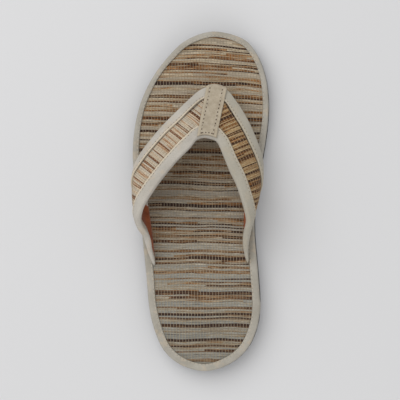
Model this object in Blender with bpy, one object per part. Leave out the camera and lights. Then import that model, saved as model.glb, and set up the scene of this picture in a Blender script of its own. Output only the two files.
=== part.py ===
# Thong sandal for the left foot: rubber outsole, cloth footbed with a taped edge, and a woven V strap
# with taped edges and a tab that folds down between the toes.
# Metres. +Y points to the toe, +X to the inner (big toe) side, +Z up. It stands on Z = 0.

import math

import bmesh
import bpy
from mathutils import Vector

mm = 0.001

# Sole
shoe_length = 270 * mm
ball_width = 109 * mm
outsole_fore = 8 * mm  # outsole thickness under the ball
heel_wedge = 3 * mm  # how much thicker it is under the heel
toe_spring = 4 * mm
heel_kick = 1.2 * mm  # rise of the heel's back edge
arch_rise = 1.5 * mm  # hollow under the waist
outsole_flare = 0.5 * mm  # how far the outsole stands out past the taped edge
outsole_round = 1.2 * mm  # bevel along its edges
side_groove = 0.9 * mm  # depth of the groove round its side
side_groove_height = 2.4 * mm
tread_depth = 1.6 * mm
tread_groove = 2.4 * mm
tread_pitch = 9 * mm
footbed_thickness = 5.5 * mm
footbed_round = 1.5 * mm

# Tape round the footbed's edge
edge_tape_top = 6 * mm  # width seen from above
edge_tape_toe = 4.5 * mm  # the same round the toe
edge_tape_under = 3.5 * mm
edge_tape_wall = 1.1 * mm
edge_tape_round = 2 * mm
lap_rise = 0.7 * mm  # bump where the tape's two ends overlap
lap_length = 8 * mm

# Strap
strap_rise = 36 * mm  # highest point of the strap's middle above the footbed
strap_wall = 2 * mm
strap_tape_width = 7.4 * mm  # tape on the strap's two edges, measured on the strap
strap_tape_wall = 1.1 * mm
foot_depth = 3.2 * mm  # how deep the strap's ends sit in the footbed
foot_clear = 3 * mm  # height above the footbed where the strap's tapes start

# Tab over the middle of the strap, with its toe post
tab_width = 16.4 * mm
tab_wall = 1.2 * mm
tab_past = 0.4 * mm  # how far the tab runs past the strap's rear edge
tab_under = 11 * mm  # length of the tab's flap under the strap
tab_lean = 4.5 * mm  # how far the tab's rear end leans to the outer side
tab_side = 2.1 * mm  # how far the tab stands to the inner side of the strap's middle
tab_step = 2.2 * mm  # run in which the tab comes down from a tape to the strap
post_back = 1.5 * mm  # how far the post stands behind the strap's front edge
post_width = 11.5 * mm
post_thickness = 4.2 * mm

gap = 0.3 * mm  # between pieces that touch

side_steps = 44  # stations down each side of the sole
row_steps = 2  # stations from one row of the strap's table to the next
strap_cross = 3  # panels across the strap between its two tapes

# Sole's half breadths from heel to toe: along as a share of the length, breadths of the ball width.
outline_rows = [
    # name, along, outer side, inner side
    ("heel round", 0.019, 0.163, 0.188),
    ("heel curve", 0.061, 0.282, 0.317),
    ("heel seat", 0.123, 0.351, 0.394),
    ("heel breadth", 0.185, 0.386, 0.417),
    ("heel front", 0.289, 0.409, 0.406),
    ("waist", 0.407, 0.439, 0.384),
    ("arch", 0.503, 0.472, 0.395),
    ("instep", 0.621, 0.505, 0.446),
    ("ball rear", 0.680, 0.501, 0.472),
    ("ball", 0.740, 0.480, 0.490),
    ("ball front", 0.800, 0.438, 0.494),
    ("toe joint", 0.870, 0.351, 0.472),
    ("toe shoulder", 0.933, 0.227, 0.411),
    ("toe curve", 0.974, 0.111, 0.325),
]
heel_tip = 0.017  # share of the ball width, to the inner side
toe_tip = 0.095
lap_along = 0.185  # place of the tape's lap on the inner side

# Edges of the strap from the outer foot over the middle to the inner foot. Each edge has its place along
# the shoe, across it (inner side positive) and its rise over the footbed, as shares of length, ball width
# and strap rise. The crown is how far the strap bows out between its edges, as a share of the strap rise.
strap_rows = [
    # name, front along, across, rise, rear along, across, rise, crown
    ("outer gusset", 0.533, -0.435, 0.17, 0.352, -0.369, 0.29, 0.03),
    ("outer turn", 0.551, -0.459, 0.26, 0.391, -0.382, 0.56, 0.07),
    ("outer corner", 0.574, -0.469, 0.36, 0.431, -0.433, 0.81, 0.08),
    ("outer rise", 0.596, -0.462, 0.46, 0.474, -0.412, 0.93, 0.08),
    ("outer arm foot", 0.617, -0.437, 0.52, 0.509, -0.361, 0.97, 0.07),
    ("outer arm low", 0.642, -0.396, 0.56, 0.549, -0.292, 0.98, 0.07),
    ("outer arm", 0.674, -0.333, 0.58, 0.595, -0.200, 0.97, 0.07),
    ("outer arm high", 0.712, -0.252, 0.58, 0.628, -0.127, 0.93, 0.07),
    ("outer shoulder", 0.748, -0.164, 0.54, 0.652, -0.066, 0.89, 0.06),
    ("outer neck", 0.787, -0.069, 0.47, 0.675, -0.019, 0.85, 0.04),
    ("outer tab side", 0.816, 0.013, 0.39, 0.681, 0.026, 0.82, 0.03),
    ("middle", 0.827, 0.105, 0.34, 0.679, 0.075, 0.81, 0.02),
    ("inner tab side", 0.814, 0.190, 0.39, 0.672, 0.122, 0.82, 0.03),
    ("inner neck", 0.781, 0.253, 0.48, 0.654, 0.152, 0.85, 0.04),
    ("inner shoulder", 0.747, 0.304, 0.54, 0.633, 0.175, 0.89, 0.06),
    ("inner arm high", 0.715, 0.344, 0.58, 0.607, 0.201, 0.93, 0.07),
    ("inner arm", 0.681, 0.379, 0.58, 0.579, 0.229, 0.97, 0.07),
    ("inner arm low", 0.649, 0.409, 0.55, 0.546, 0.269, 0.98, 0.07),
    ("inner arm foot", 0.621, 0.428, 0.50, 0.508, 0.302, 0.97, 0.07),
    ("inner rise", 0.595, 0.435, 0.43, 0.470, 0.331, 0.91, 0.07),
    ("inner corner", 0.570, 0.428, 0.35, 0.435, 0.347, 0.78, 0.07),
    ("inner turn", 0.547, 0.404, 0.26, 0.398, 0.327, 0.54, 0.05),
    ("inner gusset", 0.529, 0.371, 0.17, 0.361, 0.320, 0.29, 0.03),
]
outer_foot = (0.519, 0.319)  # front and rear end of each foot of the strap, as shares of the length
inner_foot = (0.512, 0.325)
foot_rows = 3  # rows of the strap below the table's first: slot bottom, footbed level, clear of the tape

# Zones of the tread, as shares of the length. The plain pads between them are flat on the floor.
tread_zones = [
    # name, start, end
    ("heel back", 0.045, 0.120),
    ("heel front", 0.230, 0.300),
    ("ball rear", 0.570, 0.655),
    ("ball front", 0.770, 0.945),
]


def along(part):
    return (part - 0.5) * shoe_length


def eased(x, start, end):
    # 0 at start, 1 at end, with a soft beginning and end
    part = min(1, max(0, (x - start) / (end - start)))
    return part * part * (3 - 2 * part)


def smooth(points, t, closed=False):
    # A point on the centripetal Catmull-Rom curve through the points, where t counts them from 0.
    count = len(points)
    span = min(max(0, math.floor(t)), count - 1 if closed else count - 2)
    near = []
    for index in range(span - 1, span + 3):
        if closed:
            near.append(points[index % count])
        elif index < 0:
            near.append(2 * points[0] - points[1])
        elif index >= count:
            near.append(2 * points[-1] - points[-2])
        else:
            near.append(points[index])
    knots = [0]
    for start, end in zip(near, near[1:]):
        knots.append(knots[-1] + math.sqrt((end - start).length))
    here = knots[1] + (t - span) * (knots[2] - knots[1])

    def mix(start, end, low, high):
        return start.lerp(end, (here - knots[low]) / (knots[high] - knots[low]))

    first = mix(near[0], near[1], 0, 1)
    second = mix(near[1], near[2], 1, 2)
    third = mix(near[2], near[3], 2, 3)
    return mix(mix(first, second, 0, 2), mix(second, third, 1, 3), 1, 2)


# Sole


def ground(y):
    # Height of the outsole's underside: flat under heel and ball, hollow under the waist.
    spring = max(0, y - along(0.76)) / (along(1) - along(0.76))
    kick = max(0, along(0.05) - y) / (along(0.05) - along(0))
    arch = eased(y, along(0.31), along(0.42)) - eased(y, along(0.46), along(0.56))
    return toe_spring * spring**2 + heel_kick * kick**2 + arch_rise * arch


def deck(y):
    # Height of the outsole's top.
    spring = max(0, y - along(0.70)) / (along(1) - along(0.70))
    wedge = 1 - eased(y, along(0.25), along(0.66))
    return outsole_fore + heel_wedge * wedge + toe_spring * spring**2


def footbed_base(y):
    return deck(y) + gap


def footbed_top(y):
    return footbed_base(y) + footbed_thickness


def sole_sides():
    # The outer and inner side of the outline as fine runs of points from toe to heel.
    fine = 12
    toe = Vector((toe_tip * ball_width, along(1), 0))
    heel = Vector((heel_tip * ball_width, along(0), 0))
    outer = [Vector((-breadth * ball_width, along(part), 0)) for _, part, breadth, _ in outline_rows]
    inner = [Vector((breadth * ball_width, along(part), 0)) for _, part, _, breadth in outline_rows]
    loop = [toe] + outer[::-1] + [heel] + inner
    points = [smooth(loop, step / fine, closed=True) for step in range(len(loop) * fine)]
    turn = (len(outer) + 1) * fine
    return points[: turn + 1], [points[0]] + points[: turn - 1 : -1]


def side_point(side, y):
    # The point of a side, which runs from toe to heel, at y.
    for start, end in zip(side, side[1:]):
        if start.y >= y > end.y:
            return start.lerp(end, (start.y - y) / (start.y - end.y))
    return side[-1]


def sole_outline():
    # The outline as a loop from the toe down the outer side to the heel and up the inner side.
    outer, inner = sole_sides()
    middle = (outer[0].y + outer[-1].y) / 2
    reach = (outer[0].y - outer[-1].y) / 2
    levels = [middle + reach * math.cos(math.pi * step / side_steps) for step in range(1, side_steps)]
    left = [side_point(outer, y) for y in levels]
    right = [side_point(inner, y) for y in reversed(levels)]
    return [outer[0]] + left + [outer[-1]] + right


outline = sole_outline()


def inset(distance):
    # The outline moved inwards, or outwards where the distance is negative. It may be a function of y.
    moved = []
    for index, point in enumerate(outline):
        run = outline[(index + 1) % len(outline)] - outline[index - 1]
        reach = distance(point.y) if callable(distance) else distance
        moved.append(point + reach * Vector((-run.y, run.x, 0)).normalized())
    return moved


def ring(distance, height):
    # A loop of the sole at a distance inside the outline and at height(y).
    return [Vector((point.x, point.y, height(point.y))) for point in inset(distance)]


def lap(point):
    # 1 at the lap of the edge tape, 0 away from it.
    if point.x < 0:
        return 0
    return max(0, 1 - ((point.y - along(lap_along)) / lap_length) ** 2) ** 2


# Strap

foot_inset = edge_tape_top + gap + strap_wall / 2


def foot_row(part, height):
    # A row of the strap at one of its feet, upright on the seam beside the edge tape.
    loop = inset(foot_inset)
    half = len(loop) // 2
    side = loop[: half + 1] if part is outer_foot else [loop[0]] + loop[: half - 1 : -1]

    def row(v):
        y = along(part[0]) + (along(part[1]) - along(part[0])) * v
        point = side_point(side, y)
        return Vector((point.x, y, footbed_top(y) + height))

    return row


def edge_point(part, across, rise):
    y = along(part)
    return Vector((across * ball_width, y, footbed_top(y) + rise * strap_rise))


def arm_row(index):
    # A row of the strap's table: a straight line from edge to edge, bowed out by the crown.
    lines = []
    for near in (index - 1, index, index + 1):
        values = strap_rows[min(max(near, 0), len(strap_rows) - 1)]
        lines.append((edge_point(*values[1:4]), edge_point(*values[4:7])))
    run = sum(lines[2], Vector()) - sum(lines[0], Vector())
    front, rear = lines[1]
    out = (rear - front).cross(run).normalized()
    crown = strap_rows[index][7] * strap_rise

    def row(v):
        return front.lerp(rear, v) + out * crown * 4 * v * (1 - v)

    return row


foot_heights = [-foot_depth, 0, foot_clear]
loft_rows = [foot_row(outer_foot, height) for height in foot_heights]
loft_rows += [arm_row(index) for index in range(len(strap_rows))]
loft_rows += [foot_row(inner_foot, height) for height in reversed(foot_heights)]
middle_row = foot_rows + [row[0] for row in strap_rows].index("middle")


def strap_surface(t, v):
    # The strap's middle surface: t counts its rows from the outer foot, v is 0 in front and 1 at the rear.
    return smooth([row(v) for row in loft_rows], t)


def strap_normal(t, v):
    step = 0.02
    last = len(loft_rows) - 1
    run = strap_surface(min(t + step, last), v) - strap_surface(max(t - step, 0), v)
    cross = strap_surface(t, min(v + step, 1)) - strap_surface(t, max(v - step, 0))
    return cross.cross(run).normalized()


def strap_point(t, v, height):
    # A point at a height over the strap's middle surface, also a little past its edges.
    return strap_surface(t, v) + height * strap_normal(t, min(max(v, 0), 1))


def edge_reach(t, v):
    # Length across the strap for one whole v, measured square to its edge at v = 0 or 1.
    step = 0.02
    low = foot_rows - 1
    high = len(loft_rows) - foot_rows
    t = min(max(t, low + step), high - step)
    run = (strap_surface(t + step, v) - strap_surface(t - step, v)).normalized()
    start = 0 if v < 0.5 else 1 - step
    cross = (strap_surface(t, start + step) - strap_surface(t, start)) / step
    return (cross - run * cross.dot(run)).length


# Building of solids


def close_ladder(mesh, loop, flip):
    # Closes a loop of an even number of corners with panels from one side of it to the other.
    last = len(loop) - 1
    for index in range(len(loop) // 2 - 1):
        corners = [loop[index], loop[index + 1], loop[last - index - 1], loop[last - index]]
        mesh.faces.new(corners[::-1] if flip else corners)


def skin(sections, endless=False):
    # A closed body through sections with as many corners each. Its ends are closed, or it is endless.
    mesh = bmesh.new()
    loops = [[mesh.verts.new(point) for point in section] for section in sections]
    pairs = list(zip(loops, loops[1:]))
    if endless:
        pairs.append((loops[-1], loops[0]))
    for low, high in pairs:
        for index in range(len(low)):
            after = (index + 1) % len(low)
            mesh.faces.new([low[index], low[after], high[after], high[index]])
    if not endless:
        close_ladder(mesh, loops[0], flip=True)
        close_ladder(mesh, loops[-1], flip=False)
    bmesh.ops.recalc_face_normals(mesh, faces=mesh.faces)
    # Twisted panels are split the same way on every piece, so that neighbours keep their gap.
    bmesh.ops.triangulate(mesh, faces=mesh.faces, quad_method="SHORT_EDGE")
    return mesh


def block(mesh, corners):
    # Adds a box with four bottom and four top corners.
    verts = [mesh.verts.new(corner) for corner in corners]
    for face in [(3, 2, 1, 0), (4, 5, 6, 7), (0, 1, 5, 4), (1, 2, 6, 5), (2, 3, 7, 6), (3, 0, 4, 7)]:
        mesh.faces.new([verts[index] for index in face])


def add_object(name, mesh, material=None):
    data = bpy.data.meshes.new(name)
    mesh.to_mesh(data)
    mesh.free()
    thing = bpy.data.objects.new(name, data)
    bpy.context.scene.collection.objects.link(thing)
    if material:
        data.materials.append(material)
        data.shade_smooth()
        data.set_sharp_from_angle(angle=math.radians(35))
    return thing


def finish(name, color, roughness):
    material = bpy.data.materials.new(name)
    material.use_nodes = True
    shader = material.node_tree.nodes["Principled BSDF"]
    shader.inputs["Base Color"].default_value = (*color, 1)
    shader.inputs["Roughness"].default_value = roughness
    shader.inputs["Metallic"].default_value = 0
    return material


def cut(body, name, mesh):
    cutter = add_object(name, mesh)
    cutter.hide_render = True
    cutter.display_type = "WIRE"
    modifier = body.modifiers.new(name, "BOOLEAN")
    modifier.operation = "DIFFERENCE"
    modifier.object = cutter


# Pieces


def make_outsole(material):
    side = -outsole_flare

    def groove_low(y):
        return (ground(y) + deck(y) - side_groove_height) / 2

    rings = [
        ring(side + outsole_round, ground),
        ring(side, lambda y: ground(y) + outsole_round),
        ring(side, groove_low),
        ring(side + side_groove, lambda y: groove_low(y) + side_groove_height / 2),
        ring(side, lambda y: groove_low(y) + side_groove_height),
        ring(side, lambda y: deck(y) - outsole_round / 2),
        ring(side + outsole_round / 2, deck),
    ]
    outsole = add_object("outsole", skin(rings), material)
    cutters = bmesh.new()
    below = -2 * tread_depth
    for _, start, end in tread_zones:
        grooves = int((along(end) - along(start)) / tread_pitch) + 1
        for number in range(grooves):
            y = along((start + end) / 2) + (number - (grooves - 1) / 2) * tread_pitch
            back = y - tread_groove / 2
            front = y + tread_groove / 2
            floor = [(-ball_width, back), (ball_width, back), (ball_width, front), (-ball_width, front)]
            top = ground(y) + tread_depth
            block(cutters, [(*place, below) for place in floor] + [(*place, top) for place in floor])
    cut(outsole, "tread_grooves", cutters)
    return outsole


def make_footbed(material):
    side = edge_tape_wall + gap
    step = edge_tape_under + gap  # rebate for the tape's lower leg
    rings = [
        ring(step, footbed_base),
        ring(step, lambda y: footbed_base(y) + side),
        ring(side, lambda y: footbed_base(y) + side),
        ring(side, lambda y: footbed_top(y) - footbed_round),
        ring(side + 0.3 * footbed_round, lambda y: footbed_top(y) - 0.3 * footbed_round),
        ring(side + footbed_round, footbed_top),
    ]
    footbed = add_object("footbed", skin(rings), material)
    for name, foot in (("outer_slot", outer_foot), ("inner_slot", inner_foot)):
        cut(footbed, name, strap_slot(foot))
    cut(footbed, "post_slot", post_slot())
    return footbed


def strap_slot(foot):
    # The groove in the footbed that one foot of the strap stands in.
    row = foot_row(foot, 0)
    half = strap_wall / 2 + gap
    stations = side_steps // 2
    past_end = gap / (along(foot[0]) - along(foot[1]))
    sections = []
    for step in range(stations + 1):
        v = -past_end + (1 + 2 * past_end) * step / stations
        middle = row(v)
        run = row(v + 0.01) - row(v - 0.01)
        out = Vector((run.y, -run.x, 0)).normalized() * half
        low = Vector((0, 0, -foot_depth - gap))
        high = Vector((0, 0, foot_depth))
        sections.append([middle + out + low, middle - out + low, middle - out + high, middle + out + high])
    return skin(sections)


def post_frame():
    # The toe post's place on the footbed and its directions across the foot and towards the toe.
    front = strap_surface(middle_row, 0)
    rear = strap_surface(middle_row, 1)
    ahead = Vector((front.x - rear.x, front.y - rear.y, 0)).normalized()
    across = Vector((ahead.y, -ahead.x, 0))
    return front - ahead * post_back + across * tab_side, across, ahead


def post_slot():
    place, across, ahead = post_frame()
    wide = across * (post_width / 2 + gap)
    deep = ahead * (post_thickness / 2 + gap)
    low = footbed_base(place.y) - footbed_thickness
    high = footbed_top(place.y) + footbed_thickness
    floor = [place - wide - deep, place + wide - deep, place + wide + deep, place - wide + deep]
    mesh = bmesh.new()
    block(mesh, [(p.x, p.y, low) for p in floor] + [(p.x, p.y, high) for p in floor])
    return mesh


def make_edge_tape(material):
    wall = edge_tape_wall

    def low(y):
        return footbed_base(y)

    def high(y):
        return footbed_top(y) + gap

    def top(y):
        # Width seen from above, narrower round the toe.
        return edge_tape_top + (edge_tape_toe - edge_tape_top) * eased(y, along(0.55), along(0.72))

    profile = [
        # distance inside the outline, height, lap's bump upwards and outwards
        (top, lambda y: high(y) + wall, 0.3, 0),
        (lambda y: top(y) - wall, lambda y: high(y) + 1.2 * wall, 0.6, 0),
        (edge_tape_round, lambda y: high(y) + wall, 1, 0),
        (0.3 * edge_tape_round, lambda y: high(y) + wall - 0.3 * edge_tape_round, 0, 1),
        (0, lambda y: high(y) + wall - edge_tape_round, 0, 1),
        (0, lambda y: low(y) + wall, 0, 1),
        (0.6 * wall, low, 0, 0),
        (edge_tape_under, low, 0, 0),
        (edge_tape_under, lambda y: low(y) + wall, 0, 0),
        (wall, lambda y: low(y) + wall, 0, 0),
        (wall, lambda y: high(y) - footbed_round, 0, 0),
        (wall, high, 0, 0),
        (top, high, 0, 0),
    ]
    side = inset(-lap_rise)
    rings = []
    for distance, height, up, out in profile:
        loop = []
        for index, point in enumerate(ring(distance, height)):
            outwards = side[index] - outline[index]
            loop.append(point + lap(point) * (up * lap_rise * Vector((0, 0, 1)) + out * outwards))
        rings.append(loop)
    return add_object("edge_binding", skin(rings, endless=True), material)


def stations(first, last):
    return [first + step / row_steps for step in range((last - first) * row_steps + 1)]


def strap_shares(t):
    # Places across the strap: the tapes' own lines at both edges and even panels between them.
    front = strap_tape_width / edge_reach(t, 0)
    rear = 1 - strap_tape_width / edge_reach(t, 1)
    between = [front + (rear - front) * index / strap_cross for index in range(strap_cross + 1)]
    return [0, front / 2] + between + [(1 + rear) / 2, 1]


def make_strap(material):
    sections = []
    for t in stations(0, len(loft_rows) - 1):
        shares = strap_shares(t)
        outside = [strap_point(t, v, strap_wall / 2) for v in shares]
        inside = [strap_point(t, v, -strap_wall / 2) for v in reversed(shares)]
        sections.append(outside + inside)
    return add_object("strap", skin(sections), material)


def make_strap_tape(name, edge, material):
    # The tape folded round one edge of the strap, 0 for the front edge and 1 for the rear.
    inner = strap_wall / 2 + gap
    outer = inner + strap_tape_wall
    nose = gap + strap_tape_wall
    width = strap_tape_width
    fold = [
        # distance in from the strap's edge, height over its middle
        (width, outer),
        (width / 2, outer),
        (0, outer),
        (-0.75 * nose, 0.75 * outer),
        (-nose, 0),
    ]
    lining = [(width, inner), (width / 2, inner), (0, inner), (-gap, inner), (-gap, 0)]
    outer_side = fold + [(depth, -height) for depth, height in fold[-2::-1]]
    inner_side = lining + [(depth, -height) for depth, height in lining[-2::-1]]
    sections = []
    for t in stations(foot_rows - 1, len(loft_rows) - foot_rows):
        reach = edge_reach(t, edge)
        points = []
        for depth, height in outer_side + inner_side[::-1]:
            v = depth / reach if edge == 0 else 1 - depth / reach
            points.append(strap_point(t, v, height))
        sections.append(points)
    return add_object(name, skin(sections), material)


def tab_section(offset):
    # One lengthwise section of the tab and its post, at an offset across the strap from its middle: round
    # the outside from the rear end over the nose, down the post and back to the flap, then along the inside.

    def row(v):
        spacing = (strap_surface(middle_row + 0.5, v) - strap_surface(middle_row, v)).length / 0.5
        return middle_row + (offset + tab_side - tab_lean * v) / spacing

    def at(v, height):
        return strap_point(row(v), v, height)

    front_reach = edge_reach(row(0), 0)
    rear_reach = edge_reach(row(1), 1)
    over_strap = strap_wall / 2 + gap
    over_tape = over_strap + strap_tape_wall + gap
    nose = (strap_tape_wall + 2 * gap) / front_reach
    wall = tab_wall / front_reach
    flap = tab_under / front_reach
    tape = strap_tape_width + 2 * gap
    strap = tape + tab_step
    top = [
        (1 + tab_past / rear_reach, over_tape),
        (1 - tape / rear_reach, over_tape),
        (1 - strap / rear_reach, over_strap),
        (strap / front_reach, over_strap),
        (tape / front_reach, over_tape),
        (0, over_tape),
    ]
    fold = [(-nose, 0.8 * over_tape), (-nose, 0), (-nose, -0.8 * over_tape), (0, -over_tape), (flap, -over_tape)]
    place, across, ahead = post_frame()
    base = place + across * offset * post_width / tab_width
    front = base + ahead * post_thickness / 2
    back = base - ahead * post_thickness / 2
    foot = Vector((0, 0, footbed_base(place.y) + gap - base.z))
    neck = Vector((0, 0, footbed_top(place.y) + foot_clear - base.z))
    outside = [at(v, height + tab_wall) for v, height in top]
    outside += [at(-nose - 0.6 * wall, over_tape + 0.5 * tab_wall), at(-nose - wall, 0)]
    outside += [front + neck, front + foot, back + foot, back + neck]
    outside += [at(0.6 * flap, -over_tape - tab_wall), at(flap, -over_tape - tab_wall)]
    inside = [at(v, height) for v, height in top + fold]
    return outside + inside[::-1]


def close_tab(mesh, loop):
    # Closes one side of the tab: the band over the strap, the neck, the post and the flap.
    last = len(loop) - 1
    nose = 7  # corners from the rear end to the middle of the nose
    front = nose + 1
    back = nose + 4
    sides = [(index, index + 1, last - index - 1, last - index) for index in range(front)]
    sides.append((front, back, last - back + 2, last - front))
    sides.append((front, front + 1, back - 1, back))
    sides.append((back, back + 1, last - back + 2))
    sides.append((back + 1, back + 2, last - back + 1, last - back + 2))
    for corners in sides:
        mesh.faces.new([loop[index] for index in corners])


def make_tab(material):
    slices = 4
    sections = [tab_section(tab_width * (step / slices - 0.5)) for step in range(slices + 1)]
    mesh = bmesh.new()
    loops = [[mesh.verts.new(point) for point in section] for section in sections]
    for low, high in zip(loops, loops[1:]):
        for index in range(len(low)):
            after = (index + 1) % len(low)
            mesh.faces.new([low[index], low[after], high[after], high[index]])
    close_tab(mesh, loops[0])
    close_tab(mesh, loops[-1])
    bmesh.ops.recalc_face_normals(mesh, faces=mesh.faces)
    return add_object("toe_tab", mesh, material)


def settle(pieces):
    # Puts the origin under the middle of the whole sandal, on the floor.
    bpy.context.view_layer.update()
    corners = [piece.matrix_world @ Vector(corner) for piece in pieces for corner in piece.bound_box]
    low = [min(corner[axis] for corner in corners) for axis in range(3)]
    high = [max(corner[axis] for corner in corners) for axis in range(3)]
    shift = Vector((-(low[0] + high[0]) / 2, -(low[1] + high[1]) / 2, -low[2]))
    for thing in bpy.data.objects:
        thing.location = shift
    print("moved by", [round(value / mm, 4) for value in shift], "mm")


def build():
    for thing in list(bpy.data.objects):
        bpy.data.objects.remove(thing)
    rubber = finish("outsole_rubber", (0.02, 0.02, 0.021), 0.75)
    grass = finish("woven_grass", (0.20, 0.15, 0.10), 0.8)
    tape = finish("cotton_tape", (0.42, 0.38, 0.32), 0.85)
    canvas = finish("cotton_canvas", (0.40, 0.34, 0.26), 0.8)
    pieces = [
        make_outsole(rubber),
        make_footbed(grass),
        make_edge_tape(tape),
        make_strap(grass),
        make_strap_tape("front_binding", 0, tape),
        make_strap_tape("rear_binding", 1, tape),
        make_tab(canvas),
    ]
    settle(pieces)


build()
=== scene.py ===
import math

import bmesh
import bpy
import numpy as np
from mathutils import Matrix, Vector


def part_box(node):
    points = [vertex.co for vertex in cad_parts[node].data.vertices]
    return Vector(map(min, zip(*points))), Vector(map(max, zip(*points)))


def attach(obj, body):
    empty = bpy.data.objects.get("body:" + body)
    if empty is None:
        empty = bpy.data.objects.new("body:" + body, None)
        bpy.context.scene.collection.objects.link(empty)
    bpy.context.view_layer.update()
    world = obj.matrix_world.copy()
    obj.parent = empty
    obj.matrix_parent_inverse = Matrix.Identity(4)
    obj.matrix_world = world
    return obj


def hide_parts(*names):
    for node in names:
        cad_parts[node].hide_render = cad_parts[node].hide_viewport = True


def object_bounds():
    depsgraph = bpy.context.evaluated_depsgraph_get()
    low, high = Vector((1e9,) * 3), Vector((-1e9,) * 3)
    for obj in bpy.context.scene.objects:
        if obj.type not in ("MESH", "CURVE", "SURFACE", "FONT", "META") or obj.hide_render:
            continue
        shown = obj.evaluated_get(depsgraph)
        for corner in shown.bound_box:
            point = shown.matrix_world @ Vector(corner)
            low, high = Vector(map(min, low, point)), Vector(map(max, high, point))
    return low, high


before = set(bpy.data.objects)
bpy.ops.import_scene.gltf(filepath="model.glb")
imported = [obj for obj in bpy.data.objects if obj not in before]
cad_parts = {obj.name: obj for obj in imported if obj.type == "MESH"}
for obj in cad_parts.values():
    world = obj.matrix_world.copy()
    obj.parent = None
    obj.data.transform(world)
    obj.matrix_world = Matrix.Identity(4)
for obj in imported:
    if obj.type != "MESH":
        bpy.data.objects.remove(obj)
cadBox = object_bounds()

# Lengths are in millimetres until a mesh is made. +Y is the toe, +X the inner side, +Z up.
mm = 0.001

# Sizes and tables that the dressed pieces share with the solids
sole = {
    "length": 270,
    "ballWidth": 109,
    "outsoleFore": 8,
    "heelWedge": 3,
    "toeSpring": 4,
    "outsoleFlare": 0.5,
    "footbedThickness": 5.5,
    "gap": 0.3,
    "fineness": 40,  # points of the outline from one row of the table to the next
    "heelTip": 0.017,
    "toeTip": 0.095,
}
outlineRows = [
    # along, outer side, inner side
    (0.019, 0.163, 0.188),
    (0.061, 0.282, 0.317),
    (0.123, 0.351, 0.394),
    (0.185, 0.386, 0.417),
    (0.289, 0.409, 0.406),
    (0.407, 0.439, 0.384),
    (0.503, 0.472, 0.395),
    (0.621, 0.505, 0.446),
    (0.680, 0.501, 0.472),
    (0.740, 0.480, 0.490),
    (0.800, 0.438, 0.494),
    (0.870, 0.351, 0.472),
    (0.933, 0.227, 0.411),
    (0.974, 0.111, 0.325),
]
strap = {
    "rise": 36,
    "wall": 2,
    "tapeWidth": 7.4,
    "tapeWall": 1.1,
    "edgeTapeWidth": 6,
    "footDepth": 3.2,
    "footClear": 3,
    "outerFoot": (0.519, 0.319),
    "innerFoot": (0.512, 0.325),
    "middle": 14,  # row under the tab
}
strapRows = [
    # front edge along, across, rise, rear edge along, across, rise, crown
    (0.533, -0.435, 0.17, 0.352, -0.369, 0.29, 0.03),
    (0.551, -0.459, 0.26, 0.391, -0.382, 0.56, 0.07),
    (0.574, -0.469, 0.36, 0.431, -0.433, 0.81, 0.08),
    (0.596, -0.462, 0.46, 0.474, -0.412, 0.93, 0.08),
    (0.617, -0.437, 0.52, 0.509, -0.361, 0.97, 0.07),
    (0.642, -0.396, 0.56, 0.549, -0.292, 0.98, 0.07),
    (0.674, -0.333, 0.58, 0.595, -0.200, 0.97, 0.07),
    (0.712, -0.252, 0.58, 0.628, -0.127, 0.93, 0.07),
    (0.748, -0.164, 0.54, 0.652, -0.066, 0.89, 0.06),
    (0.787, -0.069, 0.47, 0.675, -0.019, 0.85, 0.04),
    (0.816, 0.013, 0.39, 0.681, 0.026, 0.82, 0.03),
    (0.827, 0.105, 0.34, 0.679, 0.075, 0.81, 0.02),
    (0.814, 0.190, 0.39, 0.672, 0.122, 0.82, 0.03),
    (0.781, 0.253, 0.48, 0.654, 0.152, 0.85, 0.04),
    (0.747, 0.304, 0.54, 0.633, 0.175, 0.89, 0.06),
    (0.715, 0.344, 0.58, 0.607, 0.201, 0.93, 0.07),
    (0.681, 0.379, 0.58, 0.579, 0.229, 0.97, 0.07),
    (0.649, 0.409, 0.55, 0.546, 0.269, 0.98, 0.07),
    (0.621, 0.428, 0.50, 0.508, 0.302, 0.97, 0.07),
    (0.595, 0.435, 0.43, 0.470, 0.331, 0.91, 0.07),
    (0.570, 0.428, 0.35, 0.435, 0.347, 0.78, 0.07),
    (0.547, 0.404, 0.26, 0.398, 0.327, 0.54, 0.05),
    (0.529, 0.371, 0.17, 0.361, 0.320, 0.29, 0.03),
]


# Shape of the sole


def along(part):
    return (part - 0.5) * sole["length"]


def eased(x, start, end):
    part = np.clip((np.asarray(x, float) - start) / (end - start), 0, 1)
    return part * part * (3 - 2 * part)


def smooth(points, t, closed=False):
    # Places on the centripetal Catmull-Rom curves through rows of points, where t counts the rows.
    points = np.asarray(points, float)
    t = np.atleast_1d(t)
    if closed:
        padded = np.concatenate([points[-1:], points, points[:2]])
        last = len(points) - 1
    else:
        padded = np.concatenate([2 * points[:1] - points[1:2], points, 2 * points[-1:] - points[-2:-1]])
        last = len(points) - 2
    span = np.clip(np.floor(t).astype(int), 0, last)
    near = [padded[span + step] for step in range(4)]
    knots = [0]
    for start, end in zip(near, near[1:]):
        knots.append(knots[-1] + np.sqrt(np.linalg.norm(end - start, axis=-1, keepdims=True)))
    share = (t - span).reshape([-1] + [1] * (points.ndim - 1))
    here = knots[1] + share * (knots[2] - knots[1])

    def mix(start, end, low, high):
        return start + (end - start) * (here - knots[low]) / (knots[high] - knots[low])

    first = mix(near[0], near[1], 0, 1)
    second = mix(near[1], near[2], 1, 2)
    third = mix(near[2], near[3], 2, 3)
    return mix(mix(first, second, 0, 2), mix(second, third, 1, 3), 1, 2)


def deck(y):
    spring = np.maximum(0, y - along(0.70)) / (along(1) - along(0.70))
    wedge = 1 - eased(y, along(0.25), along(0.66))
    return sole["outsoleFore"] + sole["heelWedge"] * wedge + sole["toeSpring"] * spring**2


def footbedBase(y):
    return deck(y) + sole["gap"]


def footbedTop(y):
    return footbedBase(y) + sole["footbedThickness"]


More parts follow.
